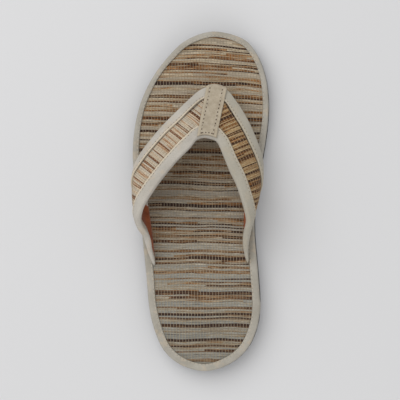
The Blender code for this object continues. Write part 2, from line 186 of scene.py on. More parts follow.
def outlineLoop():
    # The sole's outline from the toe down the outer side to the heel and up the inner side.
    width = sole["ballWidth"]
    toe = [(sole["toeTip"] * width, along(1))]
    heel = [(sole["heelTip"] * width, along(0))]
    outer = [(-left * width, along(part)) for part, left, _ in outlineRows]
    inner = [(right * width, along(part)) for part, _, right in outlineRows]
    loop = toe + outer[::-1] + heel + inner
    t = np.arange(len(loop) * sole["fineness"]) / sole["fineness"]
    return smooth(loop, t, closed=True)


def lengths(points):
    # How far along a line each of its points lies.
    return np.concatenate([[0], np.cumsum(np.linalg.norm(np.diff(points, axis=0), axis=1))])


def unit(vectors):
    return vectors / np.linalg.norm(vectors, axis=-1, keepdims=True)


def onLine(line, reach, where):
    # Reads a line in the plane, or what goes with its points, at lengths along it.
    return np.stack([np.interp(where, reach, line[:, axis]) for axis in (0, 1)], axis=-1)


def evenLoop(loop, count):
    # The loop with its points evenly spaced.
    closed = np.vstack([loop, loop[:1]])
    reach = lengths(closed)
    return onLine(closed, reach, np.linspace(0, reach[-1], count, endpoint=False))


def inwards(loop):
    run = np.roll(loop, -1, axis=0) - np.roll(loop, 1, axis=0)
    return unit(np.stack([-run[:, 1], run[:, 0]], axis=1))


outline = outlineLoop()
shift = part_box("outsole")[0].x / mm + sole["outsoleFlare"] - outline[:, 0].min()


def edgesAt(y, distance):
    # Outer and inner x of the outline, moved in by a distance, at each y.
    moved = outline + distance * inwards(outline)
    moved = np.roll(moved, -int(np.argmax(moved[:, 1])), axis=0)
    turn = int(np.argmin(moved[:, 1]))
    outer = moved[: turn + 1]
    inner = np.vstack([moved[turn:], moved[:1]])
    left = np.interp(y, outer[::-1, 1], outer[::-1, 0])
    right = np.interp(y, inner[:, 1], inner[:, 0])
    return left, right


# Shape of the strap


def footRow(part, height, v):
    y = along(part[0]) + (along(part[1]) - along(part[0])) * v
    reach = strap["edgeTapeWidth"] + sole["gap"] + strap["wall"] / 2
    left, right = edgesAt(y, reach)
    x = left if part is strap["outerFoot"] else right
    return np.stack([x, y, footbedTop(y) + height], axis=1)


def edgePoint(part, across, rise):
    y = along(part)
    return np.array([across * sole["ballWidth"], y, footbedTop(y) + rise * strap["rise"]])


def armRow(index, v):
    lines = []
    for near in (index - 1, index, index + 1):
        values = strapRows[min(max(near, 0), len(strapRows) - 1)]
        lines.append((edgePoint(*values[:3]), edgePoint(*values[3:6])))
    front, rear = lines[1]
    run = lines[2][0] + lines[2][1] - lines[0][0] - lines[0][1]
    out = np.cross(rear - front, run)
    crown = strapRows[index][6] * strap["rise"] * out / np.linalg.norm(out)
    v = v[:, None]
    return front + (rear - front) * v + crown * 4 * v * (1 - v)


tSteps = 16  # stations from one row of the strap to the next
vGrid = np.linspace(-0.1, 1.1, 97)
edgeColumns = (8, 88)  # columns of vGrid at the strap's front and rear edge
footHeights = [-strap["footDepth"], 0, strap["footClear"]]
loftRows = [footRow(strap["outerFoot"], height, vGrid) for height in footHeights]
loftRows += [armRow(index, vGrid) for index in range(len(strapRows))]
loftRows += [footRow(strap["innerFoot"], height, vGrid) for height in footHeights[::-1]]
lastRow = len(loftRows) - 1
tGrid = np.linspace(0, lastRow, lastRow * tSteps + 1)
strapGrid = smooth(loftRows, tGrid)
strapRun = np.gradient(strapGrid, tGrid, axis=0)
strapCross = np.gradient(strapGrid, vGrid, axis=1)
strapOut = unit(np.cross(strapCross, strapRun))


def fromGrid(grid, t, v):
    # Reads a grid over the strap at places t, v by linear steps.
    t, v = np.broadcast_arrays(np.asarray(t, float), np.asarray(v, float))
    row = np.clip(t * tSteps, 0, len(tGrid) - 1.001)
    column = np.clip((v - vGrid[0]) / (vGrid[1] - vGrid[0]), 0, len(vGrid) - 1.001)
    low = row.astype(int)
    left = column.astype(int)
    down = (row - low)[..., None]
    side = (column - left)[..., None]
    near = grid[low, left] * (1 - side) + grid[low, left + 1] * side
    far = grid[low + 1, left] * (1 - side) + grid[low + 1, left + 1] * side
    return near * (1 - down) + far * down


def strapPoint(t, v, height):
    out = unit(fromGrid(strapOut, t, np.clip(v, 0, 1)))
    return fromGrid(strapGrid, t, v) + np.asarray(height)[..., None] * out


def edgeReach(t, v):
    # Length across the strap for one whole v, square to the edge.
    t = np.clip(t, 2.05, lastRow - 2.05)
    run = unit(fromGrid(strapRun, t, v))
    cross = fromGrid(strapCross, t, v)
    square = cross - run * np.sum(cross * run, axis=-1, keepdims=True)
    return np.linalg.norm(square, axis=-1)


def unrolled(rows):
    # Lays the strap flat from the middle row to one foot: places of its front and rear edge in the plane.
    front = strapGrid[rows, edgeColumns[0]]
    rear = strapGrid[rows, edgeColumns[1]]
    flatFront = [np.array([0.0, 0.0])]
    flatRear = [np.array([0.0, np.linalg.norm(rear[0] - front[0])])]

    def across(a, b, fromA, fromB):
        # The point at given distances from a and b, on the side that the strap runs to.
        base = np.linalg.norm(b - a)
        x = (fromA**2 - fromB**2 + base**2) / (2 * base)
        y = math.sqrt(max(0, fromA**2 - x**2))
        ahead = (b - a) / base
        return a + ahead * x + np.array([ahead[1], -ahead[0]]) * y

    for index in range(1, len(rows)):
        fromFront = np.linalg.norm(front[index] - front[index - 1])
        fromRear = np.linalg.norm(front[index] - rear[index - 1])
        nextFront = across(flatFront[-1], flatRear[-1], fromFront, fromRear)
        width = np.linalg.norm(rear[index] - front[index])
        step = np.linalg.norm(rear[index] - rear[index - 1])
        nextRear = across(nextFront, flatRear[-1], width, step)
        flatFront.append(nextFront)
        flatRear.append(nextRear)
    return np.array(flatFront), np.array(flatRear)


def armFlat():
    # The strap's grid laid flat, turned so that x runs down the arm.
    middle = strap["middle"] * tSteps
    flat = np.zeros((len(tGrid), 2, 2))
    for rows in (np.arange(middle, -1, -1), np.arange(middle, len(tGrid))):
        front, rear = unrolled(rows)
        centre = (front + rear) / 2
        start = centre[4 * tSteps]  # clear of the tab
        end = centre[-5 * tSteps]  # clear of the foot
        ahead = unit(end - start)
        square = np.array([-ahead[1], ahead[0]])
        for side, edge in enumerate((front, rear)):
            flat[rows, side, 0] = edge @ ahead
            flat[rows, side, 1] = edge @ square
    share = vGrid[:, None]
    return flat[:, :1] * (1 - share) + flat[:, 1:] * share


flatStrap = armFlat()


def flatAt(t, v):
    return fromGrid(flatStrap, t, v)


# Woven grass cloth: wefts of grass of uneven width, held by thin cotton warps
weave = {
    "warpPitch": 2.4,
    "warpWidth": 0.32,
    "warpHeight": 0.12,
    "warpsAcross": (-54, 56),  # x of the footbed's first warp, and past its last
    "underTape": 4.2,  # from the outline to the ends of the footbed's warps
    "darkWidth": 0.75,  # of a dark weft, and of a pale one
    "paleWidth": 1.8,
    "relief": 0.2,
    "heelTilt": 0.016,  # slope of the footbed's wefts at the heel and at the toe
    "toeTilt": 0.04,
    "toeBend": 0.0019,  # how the wefts bow down towards the inner side of the toe
    "wefts": 420,
    "startAt": -280,  # place of the first weft along the cloth
    "seed": 11,
}
golden = 0.618034  # spreads the wefts' tones without a pattern


def weftTone(index):
    # 0 for a dark weft and 1 for a pale one. The grass finish works out the same number.
    part = (index * golden + 0.35 * np.sin(index * 2.4)) % 1.0
    return part + 0.13 * np.sin(index * 0.37) + 0.1 * np.sin(index * 0.113 + 1)


chance = np.random.default_rng(weave["seed"])
weftTones = weftTone(np.arange(float(weave["wefts"])))
weftWidths = weave["darkWidth"] + (weave["paleWidth"] - weave["darkWidth"]) * np.clip(weftTones, 0, 1)
weftWidths *= chance.uniform(0.8, 1.2, weave["wefts"])
weftEdges = np.concatenate([[0], np.cumsum(weftWidths)]) + weave["startAt"]
weftRelief = chance.uniform(0.6, 1.0, weave["wefts"] + 1)
weftCounts = np.arange(len(weftEdges))


def weftAt(place):
    # Count of wefts up to a place along the cloth, with its fraction.
    return np.interp(place, weftEdges, weftCounts)


def weftHeight(count):
    index = np.clip(count.astype(int), 0, weave["wefts"])
    part = np.clip(count - np.floor(count), 0, 1)
    return weave["relief"] * weftRelief[index] * np.sqrt(np.sin(np.pi * part).clip(0)) - 0.5 * weave["relief"]


def wobble(x, y):
    return 0.4 * np.sin(x / 19 + y / 31) + 0.3 * np.sin(x / 8.3 - y / 13 + 1.3)


# Meshes


def linked(name, data):
    thing = bpy.data.objects.new(name, data)
    bpy.context.scene.collection.objects.link(thing)
    return thing


def meshOf(name, points, edges=(), faces=()):
    # points in millimetres, in the frame of the outline's table
    mesh = bpy.data.meshes.new(name)
    points = np.asarray(points, float).reshape(-1, 3) + [shift, 0, 0]
    mesh.from_pydata((points * mm).tolist(), edges, faces)
    return mesh


def makeObject(name, points, faces, material, uv=None, edge=None):
    # uv and edge hold two numbers for each point.
    mesh = meshOf(name, points, [], faces)
    mesh.materials.append(material)
    corners = np.empty(len(mesh.loops), dtype=np.int32)
    mesh.loops.foreach_get("vertex_index", corners)
    for label, values in (("cloth", uv), ("edge", edge)):
        if values is not None:
            layer = mesh.uv_layers.new(name=label)
            layer.data.foreach_set("uv", np.asarray(values, np.float32).reshape(-1, 2)[corners].ravel())
    mesh.validate()
    mesh.update()
    mesh.shade_smooth()
    return linked(name, mesh)


def clothMap(first, second):
    # A map whose first number runs with the rows of a grid and whose second runs with its columns.
    return np.stack(np.broadcast_arrays(first[:, None], second[None, :]), axis=2)


def gridFaces(rows, columns, closeRows=False, closeColumns=False, start=0):
    # Faces of a grid of points, row after row.
    faces = []
    for row in range(rows if closeRows else rows - 1):
        here = start + row * columns
        after = start + (row + 1) % rows * columns
        for column in range(columns if closeColumns else columns - 1):
            side = (column + 1) % columns
            faces.append((here + column, here + side, after + side, after + column))
    return faces


def outwards(thing):
    # Turns a closed piece's faces out.
    mesh = bmesh.new()
    mesh.from_mesh(thing.data)
    bmesh.ops.recalc_face_normals(mesh, faces=mesh.faces)
    mesh.to_mesh(thing.data)
    mesh.free()
    return thing


def tube(name, sections, material, uv=None, endless=False, edge=None):
    # A closed piece through loops of points. Open ends are closed with strips across.
    sections = np.asarray(sections, float)
    count, corners = sections.shape[:2]
    faces = gridFaces(count, corners, closeRows=endless, closeColumns=True)
    if not endless:
        for base in (0, (count - 1) * corners):
            for index in range(corners // 2 - 1):
                ends = (index, index + 1, corners - index - 2, corners - index - 1)
                faces.append(tuple(base + end for end in ends))
    return outwards(makeObject(name, sections, faces, material, uv, edge))


# Shader maths


def operator(operation, turned=False):
    # A sum on a wire, turned where the number comes first.
    def applied(self, *others):
        values = (*others, self) if turned else (self, *others)
        return self.sum(operation, *values)

    return applied


class Wire:
    # A socket of a material's tree, so that sums on it read as sums.
    def __init__(self, tree, socket):
        self.tree = tree
        self.socket = socket

    def sum(self, operation, *values):
        node = self.tree.nodes.new("ShaderNodeMath")
        node.operation = operation
        for socket, value in zip(node.inputs, values):
            connect(self.tree, socket, value)
        return Wire(self.tree, node.outputs[0])

    __add__ = operator("ADD")
    __radd__ = operator("ADD", turned=True)
    __sub__ = operator("SUBTRACT")
    __rsub__ = operator("SUBTRACT", turned=True)
    __mul__ = operator("MULTIPLY")
    __rmul__ = operator("MULTIPLY", turned=True)
    __truediv__ = operator("DIVIDE")
    __lt__ = operator("LESS_THAN")
    __gt__ = operator("GREATER_THAN")
    floor = operator("FLOOR")
    fraction = operator("FRACT")
    least = operator("MINIMUM")
    most = operator("MAXIMUM")
    power = operator("POWER")
    sine = operator("SINE")

    def share(self):
        # Held between 0 and 1
        return self.least(1.0).most(0.0)

    def waves(self, length, start=0.0):
        # A wave over the surface, from -1 to 1
        turn = self * (2 * math.pi / length)
        return (turn + start if start else turn).sine()


def connect(tree, socket, value):
    if isinstance(value, Wire):
        tree.links.new(value.socket, socket)
    else:
        socket.default_value = value


def seen(shade):
    # The surface colour for a shade as the eye reads it, 0 to 255
    parts = [value / 255 for value in shade]
    return tuple(part / 12.92 if part < 0.04045 else ((part + 0.055) / 1.055) ** 2.4 for part in parts)


def solid(color):
    return color if isinstance(color, Wire) else (*seen(color), 1)


def setStops(ramp, stops):
    # A stop is its place on the ramp and its shade.
    for index, (place, *shade) in enumerate(stops):
        element = ramp.elements[index] if index < 2 else ramp.elements.new(place)
        element.position = place
        element.color = solid(shade)


class Finish:
    # A material whose nodes are made through one method. A colour is a wire or a shade.
    def __init__(self, name, roughness=0.8, sheen=0.0):
        self.material = bpy.data.materials.new(name)
        self.material.use_nodes = True
        self.tree = self.material.node_tree
        self.shader = self.tree.nodes["Principled BSDF"]
        for label, value in (("Roughness", roughness), ("Sheen Weight", sheen), ("Specular IOR Level", 0.3)):
            self.shader.inputs[label].default_value = value

    def node(self, kind, settings=None, inputs=None, output=0):
        node = self.tree.nodes.new(kind)
        for key, value in (settings or {}).items():
            if key == "stops":
                setStops(node.color_ramp, value)
            else:
                setattr(node, key, value)
        for key, value in (inputs or {}).items():
            connect(self.tree, node.inputs[key], value)
        return Wire(self.tree, node.outputs[output])

    def parts(self, vector):
        node = self.node("ShaderNodeSeparateXYZ", None, {0: vector}).socket.node
        return [Wire(self.tree, socket) for socket in node.outputs]

    def cloth(self, name="cloth"):
        # Across and along a cloth, from the piece's own map
        return self.parts(self.node("ShaderNodeUVMap", {"uv_map": name}))[:2]

    def place(self):
        # Object coordinates in millimetres
        spot = self.node("ShaderNodeTexCoord", output="Object")
        return self.node("ShaderNodeVectorMath", {"operation": "SCALE"}, {0: spot, "Scale": 1 / mm})

    def vector(self, x, y, z=0.0):
        return self.node("ShaderNodeCombineXYZ", None, {0: x, 1: y, 2: z})

    def noise(self, vector, scale, detail=2.0, rough=0.5):
        inputs = {"Vector": vector, "Scale": scale, "Detail": detail, "Roughness": rough}
        return self.node("ShaderNodeTexNoise", None, inputs)

    def chance(self, x, y):
        return self.node("ShaderNodeTexWhiteNoise", {"noise_dimensions": "2D"}, {"Vector": self.vector(x, y)})

    def ramp(self, factor, stops):
        return self.node("ShaderNodeValToRGB", {"stops": stops}, {0: factor})

    def mixed(self, factor, first, second, blend="MIX"):
        inputs = {0: factor, 6: solid(first), 7: solid(second)}
        return self.node("ShaderNodeMix", {"data_type": "RGBA", "blend_type": blend}, inputs, 2)

    def shaded(self, color, amount):
        # A colour made darker or lighter by a number
        return self.mixed(1.0, color, self.vector(amount, amount, amount), "MULTIPLY")

    def bump(self, height, distance):
        normal = self.node("ShaderNodeBump", None, {"Height": height, "Distance": distance * mm})
        connect(self.tree, self.shader.inputs["Normal"], normal)

    def color(self, value):
        connect(self.tree, self.shader.inputs["Base Color"], solid(value))

    def rough(self, value):
        connect(self.tree, self.shader.inputs["Roughness"], value)


# Grass from its darkest to its palest wefts: place on the ramp and shade. The tone goes up and down, as
# brown and grey blades have the same brightness.
heelGrass = [
    (0.00, 58, 38, 27),
    (0.14, 90, 61, 41),
    (0.26, 126, 90, 58),
    (0.38, 152, 116, 76),
    (0.48, 140, 120, 92),
    (0.60, 161, 149, 129),
    (0.72, 128, 117, 100),
    (0.86, 179, 171, 154),
    (1.00, 142, 139, 130),
]
toeGrass = [
    (0.00, 46, 27, 18),
    (0.14, 78, 47, 27),
    (0.26, 122, 76, 37),
    (0.38, 166, 112, 54),
    (0.48, 146, 116, 78),
    (0.60, 190, 172, 143),
    (0.72, 124, 104, 80),
    (0.86, 208, 192, 165),
    (1.00, 164, 151, 132),
]
outerArmGrass = [
    (0.00, 100, 62, 38),
    (0.14, 150, 96, 56),
    (0.28, 178, 128, 84),
    (0.38, 200, 176, 146),
    (0.56, 210, 196, 174),
    (0.68, 186, 164, 136),
    (0.82, 206, 192, 170),
    (1.00, 190, 178, 160),
]
innerArmGrass = [
    (0.00, 64, 38, 18),
    (0.20, 82, 48, 22),
    (0.32, 120, 74, 31),
    (0.42, 170, 116, 55),
    (0.52, 178, 154, 112),
    (0.66, 200, 182, 144),
    (0.77, 140, 96, 50),
    (0.88, 192, 172, 132),
    (1.00, 126, 86, 44),
]
grassLook = {
    "bladeRun": 70.0,  # run of a grass blade before the next is spliced in
    "paleSplices": 0.76,  # a chance over this makes a blade paler
    "darkSplices": 0.2,  # and one under this darker
    "spliceJump": 0.45,
    "drift": 0.9,  # slow change of tone along a weft
    "blend": 2.8,  # quick change of tone
    "warmFrom": -62.0,  # y where the heel's colours start to turn to the toe's
    "warmOver": 125.0,
    "darkPatches": [  # middle and half breadths of darker places, and how much: painted shade under the strap, then a darker heel
        ((-2.0, 18.0), (42.0, 46.0), 0.2),
        ((0.0, -112.0), (44.0, 34.0), 0.14),
    ],
    "streaks": 1.5,
    "fibres": 0.7,
    "frontTapeShadow": 0.72,  # painted shadow line where the cloth goes under the front tape, and under the rear one
    "rearTapeShadow": 0.2,
}


def grassFinish(name, stops, toeStops=None, tapeShadows=False, darker=0.0):
    look = grassLook
    finish = Finish(name, roughness=0.72, sheen=0.04)
    across, count = finish.cloth()

    def blur(run, wefts, detail, rough, along=None):
        # Noise that is long along a weft and short from weft to weft
        along = count if along is None else along
        return finish.noise(finish.vector(across * run, along * wefts), 1.0, detail, rough) - 0.5

    count = count + blur(0.045, 0.8, 2.0, 0.6) * 1.3
    weft = count.floor()
    part = count - weft
    piece = ((across + finish.chance(weft, 3.7) * (2 * look["bladeRun"])) / look["bladeRun"]).floor()
    spliced = finish.chance(weft, piece + 11.3)
    tone = (weft * golden + (weft * 2.4).sine() * 0.35).fraction()
    tone = tone + (weft * 0.37).sine() * 0.13 + (weft * 0.113 + 1.0).sine() * 0.1
    jump = (spliced > look["paleSplices"]) - (spliced < look["darkSplices"])
    drift = blur(0.022, 3.1, 2.0, 0.6, weft) * look["drift"]
    tone = tone + jump * look["spliceJump"] + drift + blur(0.04, 2.6, 3.0, 0.7) * look["blend"] - darker
    color = finish.ramp(tone, stops)
    if toeStops:
        x, y, _ = finish.parts(finish.place())
        warm = ((y - look["warmFrom"]) / look["warmOver"]).share()
        color = finish.mixed(warm, color, finish.ramp(tone, toeStops))
        # Painted shade under the strap's arms, and a darker patch at the heel
        for (midX, midY), (wide, long), amount in look["darkPatches"]:
            reach = ((x - midX) / wide).power(2.0) + ((y - midY) / long).power(2.0)
            color = finish.shaded(color, (reach * amount + (1 - amount)).least(1.0))
    streak = blur(0.06, 4.0, 3.0, 0.65)
    fibre = blur(0.4, 12.0, 2.0, 0.7)
    color = finish.shaded(color, streak * look["streaks"] + fibre * look["fibres"] + 0.94)
    # Painted shade in the grooves between wefts, deeper at some of them
    seam = (part.least(1 - part) * 5.0).least(1.0)
    depth = finish.chance(weft, 5.1).power(2.5) * 0.65 + 0.14
    color = finish.shaded(color, 1 - depth * (1 - seam))
    if tapeShadows:
        # Painted shadow along the free edges of the tapes
        front, rear = finish.cloth("edge")
        line = (1.3 - front / 1.2).share() * look["frontTapeShadow"] + (1 - rear / 0.8).share() * look["rearTapeShadow"]
        color = finish.shaded(color, 1 - line)
    # Painted shade where a warp draws each weft in, lighter between, and the same for a finer warp that lies
    # between each two.
    warpShade = across.waves(weave["warpPitch"])
    fine = across.waves(weave["warpPitch"] / 2, 0.8)
    finish.color(finish.shaded(color, 1.0 + warpShade * 0.05 + fine * 0.05))
    finish.rough(0.745 + fibre * 0.25)
    finish.bump(streak * 0.6 + fibre * 0.5 + fine * 0.12 + seam * 0.5, 0.14)
    return finish.material


def warpFinish(name, innerShade=None):
    finish = Finish(name, roughness=0.85, sheen=0.1)
    place = finish.place()
    color = finish.ramp(finish.noise(place, 0.35, 2.0), [(0.3, 142, 126, 102), (0.7, 177, 163, 139)])
    if innerShade:
        color = finish.mixed((finish.parts(place)[0] > 12.0) * 0.5, color, innerShade)
    finish.color(color)
    finish.bump(finish.noise(place, 6.0, 1.0), 0.05)
    return finish.material


tapeLook = {
    "rib": 0.55,
    "thread": 0.8,
    "stain": (200, 180, 154),
    "innerArmShade": (164, 158, 141),  # painted shade: the inner arm's tapes face away from the light and are greyer
    "edgeHighlight": 2.7,  # width of the painted highlight along the free edge
}


def tapeFinish(name, pale, deep, edgeHighlight=None):
    finish = Finish(name, roughness=0.9, sheen=0.12)
    lengthwise, across = finish.cloth()
    place = finish.place()
    speck = finish.noise(place, 1.6, 2.0, 0.7)
    color = finish.ramp(finish.noise(place, 0.05, 3.0, 0.6), [(0.32, *deep), (0.68, *pale)])
    stain = (finish.noise(place, 0.11, 2.0, 0.6) - 0.54) * 4.0
    color = finish.mixed(stain.least(0.3).most(0.0), color, tapeLook["stain"])
    # Painted highlight along the tapes' free edge
    if edgeHighlight:
        color = finish.mixed((tapeLook["edgeHighlight"] - across).share() * 0.8, color, edgeHighlight)
        # Painted shade on the inner arm's tapes
        inner = ((finish.parts(place)[0] - 8.0) / 14.0).share()
        color = finish.mixed(inner * 0.6, color, tapeLook["innerArmShade"])
    cloth = lengthwise.waves(tapeLook["rib"]) * 0.5 + across.waves(tapeLook["thread"]) * 0.35
    color = finish.shaded(color, 0.78 + speck * 0.42)
    finish.color(finish.shaded(color, 1.0 + cloth * 0.07))
    finish.bump(cloth * 0.5 + speck * 0.8, 0.12)
    return finish.material


def tabFinish():
    # Canvas, greyer between the two rows of stitches and paler along its turned edges
    finish = Finish("tabCanvas", roughness=0.9, sheen=0.12)
    across, lengthwise = finish.cloth()
    place = finish.place()
    rim = (((across * across).power(0.5) - 6.1) * 1.2).share()
    tone = finish.noise(place, 0.22, 4.0, 0.65)
    speck = finish.noise(place, 2.6, 2.0, 0.7)
    color = finish.ramp(tone, [(0.34, 163, 150, 130), (0.66, 185, 173, 153)])
    color = finish.mixed(rim * 0.5, color, (190, 177, 154))
    finish.color(finish.shaded(color, 0.8 + speck * 0.4))
    finish.bump(across.waves(0.7) * lengthwise.waves(0.7) * 0.3 + speck + tone * 1.5, 0.16)
    return finish.material


def liningFinish():
    finish = Finish("rustLining", roughness=0.9, sheen=0.15)
    place = finish.place()
    grain = finish.noise(place, 3.0, 2.0, 0.6)
    color = finish.ramp(finish.noise(place, 0.12, 3.0, 0.6), [(0.3, 122, 60, 30), (0.7, 156, 84, 44)])
    finish.color(finish.shaded(color, 0.8 + grain * 0.4))
    finish.bump(grain, 0.15)
    return finish.material


treadLook = {"lozenge": 4.2, "depth": 0.3, "reach": 1.9}  # reach: height over the floor up to which it shows


def foamFinish():
    finish = Finish("outsoleFoam", roughness=0.7)
    place = finish.place()
    grain = finish.noise(place, 1.4, 3.0, 0.6)
    color = finish.ramp(finish.noise(place, 0.04, 3.0, 0.6), [(0.3, 34, 33, 34), (0.7, 52, 51, 52)])
    finish.color(finish.shaded(color, 0.8 + grain * 0.4))
    finish.rough(0.55 + grain * 0.35)
    # Fine lozenges on the underside, which rises towards the toe
    x, y, z = finish.parts(place)
    spring = ((y - 70.0).most(0.0) / 65.0).power(2.0) * sole["toeSpring"]
    under = (z - spring) < treadLook["reach"]
    lozenge = (x + y).waves(treadLook["lozenge"]) * (x - y).waves(treadLook["lozenge"])
    finish.bump(grain * 0.3 + (lozenge * 6.0).least(1.0).most(-1.0) * under, treadLook["depth"])
    return finish.material


def threadAndShadeFinish(name, shade):
    finish = Finish(name, roughness=0.85)
    finish.color(finish.shaded(shade, 0.8 + finish.noise(finish.place(), 2.5) * 0.4))
    return finish.material


print("finishes")
grass = grassFinish("wovenGrass", heelGrass, toeGrass)
outerGrass = grassFinish("wovenGrassOuterArm", outerArmGrass, tapeShadows=True)
innerGrass = grassFinish("wovenGrassInnerArm", innerArmGrass, tapeShadows=True, darker=0.17)
warpCotton = warpFinish("cottonWarp")
strapWarpCotton = warpFinish("cottonWarpStrap", (142, 106, 62))
tapeCotton = tapeFinish("edgeTapeCotton", (176, 171, 160), (158, 152, 140))
bindingCotton = tapeFinish("bindingCotton", (194, 188, 178), (174, 168, 158), edgeHighlight=(216, 202, 178))
tabCanvas = tabFinish()
rustLining = liningFinish()
outsoleFoam = foamFinish()
threadBeige = threadAndShadeFinish("stitchThread", (186, 177, 160))
# Dark finishes for the painted shade in the stitch holes
holeShadeFaint = threadAndShadeFinish("stitchShade", (122, 106, 88))
holeShadeDark = threadAndShadeFinish("stitchHoleShade", (76, 60, 46))


def dress(thing, slot, *nodes):
    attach(thing, "root")
    if nodes:
        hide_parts(*nodes)


# Outsole: the solid itself, with merged corners so that its sides shade smooth
rubber = {"weld": 0.01, "flat": 0.2, "sharp": 32}  # distance, then degrees


def makeOutsole():
    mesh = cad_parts["outsole"].data.copy()
    mesh.name = "outsoleRubber"
    work = bmesh.new()
    work.from_mesh(mesh)
    bmesh.ops.remove_doubles(work, verts=work.verts, dist=rubber["weld"] * mm)
    flat = math.radians(rubber["flat"])
    bmesh.ops.dissolve_limit(work, angle_limit=flat, verts=work.verts, edges=work.edges)
    work.to_mesh(mesh)
    work.free()
    mesh.materials.clear()
    mesh.materials.append(outsoleFoam)
    mesh.shade_smooth()
    mesh.set_sharp_from_angle(angle=math.radians(rubber["sharp"]))
    return linked("outsoleRubber", mesh)


dress(makeOutsole(), "outsole_rubber", "outsole")
print("outsole")

# Footbed: foam board with its woven cover as one closed piece
board = {"inset": 1.4, "endInset": 1.55, "columns": 56, "weftRows": (0.0, 0.22, 0.5, 0.78)}


def weftLine(x, y):
    # Place along the cloth of a point of the footbed.
    tilt = weave["heelTilt"] + (weave["toeTilt"] - weave["heelTilt"]) * eased(y, along(0.3), along(1))
    bend = weave["toeBend"] * eased(y, along(0.68), along(1)) * np.maximum(0, x - 4) ** 2
    return y + tilt * x + bend + wobble(x, y)


def makeFootbed():
    reach = along(1) - board["endInset"]
    counts = []
    for index in range(int(weftAt(-reach)), int(weftAt(reach)) + 1):
        counts += [index + part for part in board["weftRows"]]
    places = np.interp(counts, weftCounts, weftEdges)
    places = places[(places > -reach) & (places < reach)]
    share = np.linspace(0, 1, board["columns"])

    def across(y):
        left, right = edgesAt(y, board["inset"])
        return left + (right - left) * share

    y = np.repeat(places[:, None], board["columns"], axis=1)
    x = across(y)
    for _ in range(4):
        y = np.clip(y + (places[:, None] - weftLine(x, y)), -reach, reach)
        x = across(y)
    count = weftAt(places)[:, None]
    top = np.stack([x, y, footbedTop(y) + weftHeight(count)], axis=2)
    rows, columns = x.shape
    uv = np.stack([x, np.broadcast_to(count, x.shape)], axis=2)
    base = top[:, [0, -1]].copy()
    base[..., 2] = footbedBase(base[..., 1])
    points = np.vstack([top.reshape(-1, 3), base.reshape(-1, 3)])
    uvs = np.vstack([uv.reshape(-1, 2), uv[:, [0, -1]].reshape(-1, 2)])
    faces = gridFaces(rows, columns)
    under = rows * columns
    faces += [tuple(reversed(face)) for face in gridFaces(rows, 2, start=under)]
    for row in range(rows - 1):
        here = row * columns
        after = here + columns
        low = under + 2 * row
        faces.append((after, low + 2, low, here)[::-1])
        faces.append((here + columns - 1, low + 1, low + 3, after + columns - 1)[::-1])
    for row, order in ((0, 1), (rows - 1, -1)):
        rim = [row * columns + column for column in range(columns)]
        rim += [under + 2 * row + 1, under + 2 * row]
        faces.append(tuple(rim[::order]))
    return outwards(makeObject("footbedCover", points, faces, grass, uvs))


dress(makeFootbed(), "woven_grass", "footbed")
print("footbed")


# Ribbons over paths, by Geometry Nodes: warps of the cloth


def nodeTree(name, inputs):
    # A new tree and the sockets that it is given.
    tree = bpy.data.node_groups.new(name, "GeometryNodeTree")
    for label, kind in {"Geometry": "Geometry", **inputs, "Material": "Material"}.items():
        tree.interface.new_socket(label, in_out="INPUT", socket_type="NodeSocket" + kind)
    tree.interface.new_socket("Geometry", in_out="OUTPUT", socket_type="NodeSocketGeometry")
    return tree, tree.nodes.new("NodeGroupInput").outputs


def geoNode(tree, kind, settings, inputs):
    node = tree.nodes.new(kind)
    for key, value in settings.items():
        setattr(node, key, value)
    for key, value in inputs.items():
        if isinstance(value, bpy.types.NodeSocket):
            tree.links.new(value, node.inputs[key])
        else:
            node.inputs[key].default_value = value
    return node.outputs[0]


def scaled(tree, shape, x, y, z):
    size = geoNode(tree, "ShaderNodeCombineXYZ", {}, {0: x, 1: y, 2: z})
    return geoNode(tree, "GeometryNodeTransform", {}, {"Geometry": shape, "Scale": size})


def endTree(tree, given, shape):
    real = geoNode(tree, "GeometryNodeRealizeInstances", {}, {0: shape})
    done = geoNode(tree, "GeometryNodeSetMaterial", {}, {0: real, "Material": given["Material"]})
    tree.links.new(done, tree.nodes.new("NodeGroupOutput").inputs[0])
    return tree


def grown(thing, tree, values, material):
    # Runs a tree on an object and leaves its result as a plain mesh. Sizes are in millimetres.
    modifier = thing.modifiers.new(tree.name, "NODES")
    modifier.node_group = tree
    for item in tree.interface.items_tree:
        if item.in_out == "INPUT" and item.name in values:
            modifier[item.identifier] = values[item.name] * mm
        elif item.in_out == "INPUT" and item.name == "Material":
            modifier[item.identifier] = material
    graph = bpy.context.evaluated_depsgraph_get()
    graph.update()
    mesh = bpy.data.meshes.new_from_object(thing.evaluated_get(graph))
    name = thing.name
    old = thing.data
    result = linked(name + "Grown", mesh)
    bpy.data.objects.remove(thing)
    bpy.data.meshes.remove(old)
    result.name = name
    mesh.name = name
    mesh.materials.clear()
    mesh.materials.append(material)
    mesh.shade_smooth()
    return result


def ribbonTree():
    # A flat oval thread along each path
    tree, given = nodeTree("warpThreads", {"Width": "Float", "Height": "Float"})
    path = geoNode(tree, "GeometryNodeMeshToCurve", {}, {0: given["Geometry"]})
    upright = geoNode(tree, "GeometryNodeSetCurveNormal", {"mode": "Z_UP"}, {0: path})
    size = {"Resolution": 5, "Radius": 0.5}
    ring = geoNode(tree, "GeometryNodeCurvePrimitiveCircle", {"mode": "RADIUS"}, size)
    oval = scaled(tree, ring, given["Width"], given["Height"], 1.0)
    body = geoNode(tree, "GeometryNodeCurveToMesh", {}, {0: upright, 1: oval, "Fill Caps": True})
    return endTree(tree, given, body)


warpTree = ribbonTree()


def makeThreads(name, paths, material):
    edges = []
    start = 0
    for path in paths:
        edges += [(start + step, start + step + 1) for step in range(len(path) - 1)]
        start += len(path)
    thing = linked(name, meshOf(name, np.vstack(paths), edges))
    return grown(thing, warpTree, {"Width": weave["warpWidth"], "Height": 2 * weave["warpHeight"]}, material)


